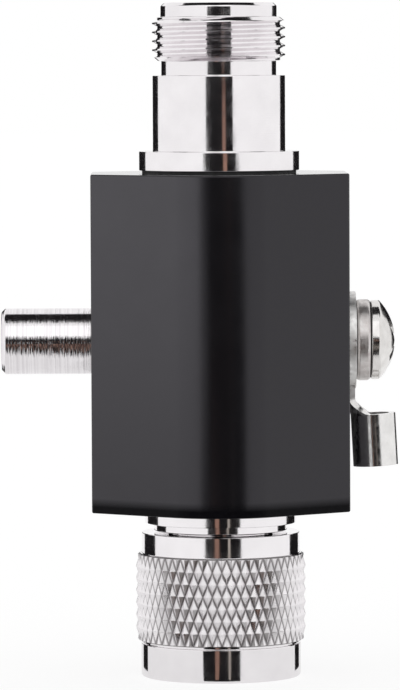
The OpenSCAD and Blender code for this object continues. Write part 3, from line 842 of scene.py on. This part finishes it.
# Solids that keep their shape and only get a finish
inner_finishes = {
    "jack_seal": dark_rubber, "cap_seal": dark_rubber, "jack_insulator": resin, "plug_insulator": resin,
    "upper_bead": resin, "lower_bead": resin, "jack_contact": gold, "centre_conductor": gold,
    "plug_pin": gold, "plug_sleeve": nickel, "snap_ring": spring_steel, "contact_spring": spring_steel,
    "line_electrode": electrode_tin, "ground_electrode": electrode_tin, "gas_tube_ceramic": ceramic,
}
for node, finish in inner_finishes.items():
    coated(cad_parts[node], finish)


# Studio


def plain_surface(name, colour, glow=0):
    """Matt paint for the studio's cards, lit from within if it glows."""
    paint = bpy.data.materials.new(name)
    paint.use_nodes = True
    shader = paint.node_tree.nodes["Principled BSDF"]
    shader.inputs["Base Color"].default_value = (*colour, 1)
    shader.inputs["Roughness"].default_value = 1
    shader.inputs["Specular IOR Level"].default_value = 0
    shader.inputs["Emission Color"].default_value = (1, 1, 1, 1)
    shader.inputs["Emission Strength"].default_value = glow
    return paint


def card(name, corners, paint):
    """A flat card through corners in mm that only shows as a reflection."""
    piece = drawn_line(name, corners)
    bpy.ops.mesh.select_all(action="SELECT")
    bpy.ops.mesh.edge_face_add()
    put_down()
    piece.data.materials.append(paint)
    piece.visible_camera = False
    piece.visible_diffuse = False
    piece.visible_shadow = False
    piece.visible_transmission = False


def facing(y, outline):
    """Corners of a card that stands square to the front, from (x, z) points."""
    return [(x, y, z) for x, z in outline]


def level(z, outline):
    """Corners of a card that lies flat, from (x, y) points."""
    return [(x, y, z) for x, y in outline]


def beside(x, near, far, low, high):
    """Corners of a card that stands square to the side."""
    return [(x, near, low), (x, far, low), (x, far, high), (x, near, high)]


def floor_and_room():
    """Pale floor and even white surroundings, which light the part less than they show."""
    floor_size, floor_z = 8, -0.05
    lighting, shown = 0.7, 1
    put_down()
    bpy.ops.mesh.primitive_plane_add(size=floor_size, location=(0, 0, floor_z * MM))
    floor = bpy.context.object
    floor.name = "floor"
    floor.data.materials.append(plain_surface("pale_floor", (0.34, 0.34, 0.34), glow=0.765))

    world = bpy.data.worlds.new("white_room")
    bpy.context.scene.world = world
    world.use_nodes = True
    nodes, links = world.node_tree.nodes, world.node_tree.links
    room = nodes["Background"]
    room.inputs["Color"].default_value = (1, 1, 1, 1)
    path = nodes.new("ShaderNodeLightPath")
    seen = path.outputs["Is Camera Ray"]
    for ray in ("Is Glossy Ray", "Is Transmission Ray"):
        either = nodes.new("ShaderNodeMath")
        either.operation = "MAXIMUM"
        links.new(seen, either.inputs[0])
        links.new(path.outputs[ray], either.inputs[1])
        seen = either.outputs["Value"]
    strength = nodes.new("ShaderNodeMapRange")
    strength.inputs["To Min"].default_value = lighting
    strength.inputs["To Max"].default_value = shown
    links.new(seen, strength.inputs["Value"])
    links.new(strength.outputs["Result"], room.inputs["Strength"])


def cards():
    """Cards round the part, each for a dark, brown, grey or bright band that the metal mirrors."""
    black_card = plain_surface("black_card", (0.012, 0.011, 0.012))
    warm_card = plain_surface("warm_card", (0.42, 0.24, 0.18))
    sand_card = plain_surface("sand_card", (0.6, 0.54, 0.48))
    grey_card = plain_surface("grey_card", (0.1, 0.1, 0.1), glow=0.81)
    bright_card = plain_surface("bright_card", (0.2, 0.2, 0.2), glow=1.08)
    front_y, warm_y, window_y, overhead_z = -400, -398, -300, 440
    shade_z, floor_card_z, strip_z = 0.05, 0.1, 0.2

    window = [(-150, 92), (-85, 92), (-30, 165), (25, 92), (150, 92), (150, 540), (-150, 540)]
    card("soft_window", facing(window_y, window), bright_card)
    front = [(-172, 51), (172, 51), (150, 230), (-150, 230)]
    card("front_card", facing(front_y, front), black_card)
    front_low = [(-98, 0), (250, 0), (205, 51), (-145, 51), (-145, 40), (-98, 37)]
    card("front_low_card", facing(front_y, front_low), black_card)
    front_floor = [(-3, -11), (3, -11), (27.5, -59), (225, front_y), (-160, front_y), (-27.5, -59)]
    card("front_floor_card", level(floor_card_z, front_floor), black_card)
    overhead = [(-400, -40), (-110, -40), (-30, -175), (50, -40), (400, -40), (400, 178), (-400, 178)]
    card("overhead_card", level(overhead_z, overhead), black_card)

    flag_r, flag_h, flag_start, flag_end = 300, 140, 132, 172
    for side in (-1, 1):
        ends = [math.radians(side * angle) for angle in (flag_start, flag_end)]
        feet = [(flag_r * math.sin(end), -flag_r * math.cos(end)) for end in ends]
        card("side_flag", level(0, feet) + level(flag_h, feet[::-1]), black_card)

    card("warm_upright", facing(warm_y, [(36, 34), (73, 34), (73, 66), (36, 66)]), warm_card)
    warm_strip = [(-0.6, -12), (-1.2, -12), (-60, -380), (-20, -380)]
    card("warm_floor_strip", level(strip_z, warm_strip), warm_card)
    sand_strip = [(1.2, -12), (1.6, -12), (88, -380), (66, -380)]
    card("sand_floor_strip", level(strip_z, sand_strip), sand_card)
    card("left_tall_flag", beside(-45, near=9.9, far=57, low=5, high=22), black_card)
    card("right_tall_flag", beside(24, near=4.6, far=30, low=5, high=20), black_card)
    for side in (-1, 1):
        card("low_flag", beside(14 * side, near=1.2, far=7.2, low=0, high=4.3), black_card)
    card("shaded_floor", level(shade_z, [(-70, -60), (70, -60), (70, 70), (-70, 70)]), grey_card)


def soft_box():
    """A broad lamp on the left that lights only the block."""
    place = Vector((-434, -260, 45)) * MM
    bpy.ops.object.light_add(type="AREA", location=place)
    lamp = bpy.context.object
    lamp.name = "left_soft_box"
    lamp.data.shape = "RECTANGLE"
    lamp.data.size = 700 * MM
    lamp.data.size_y = 300 * MM
    lamp.data.energy = 0.64
    lamp.rotation_euler = Vector((-place.x, -place.y, 0)).to_track_quat("-Z", "Y").to_euler()
    lit = bpy.data.collections.new("lit_by_soft_box")
    lit.objects.link(black_block)
    lamp.light_linking.receiver_collection = lit


def viewpoint():
    """Camera at the viewing angle of the photograph."""
    azimuth, height, roll = (math.radians(angle) for angle in (-0.5, 3.2, -0.25))
    aim = Vector((-2.372, 0, 39.614))
    distance, sensor = 640, 36
    # In pixels of the photograph
    focal_length, image_height = 5355.3, 690
    back = Vector((
        math.sin(azimuth) * math.cos(height), -math.cos(azimuth) * math.cos(height), math.sin(height)
    ))
    right = (-back).cross(Vector((0, 0, 1))).normalized()
    up = right.cross(-back)
    right, up = (
        math.cos(roll) * right + math.sin(roll) * up, -math.sin(roll) * right + math.cos(roll) * up
    )
    turn = Matrix((right, up, back)).transposed()
    bpy.ops.object.camera_add(location=(aim + back * distance) * MM, rotation=turn.to_euler())
    camera = bpy.context.object
    camera.name = "viewpoint"
    camera.data.sensor_width = sensor
    camera.data.lens = focal_length * sensor / image_height
    bpy.context.scene.camera = camera


floor_and_room()
cards()
soft_box()
viewpoint()
bpy.context.scene.view_settings.view_transform = "Standard"
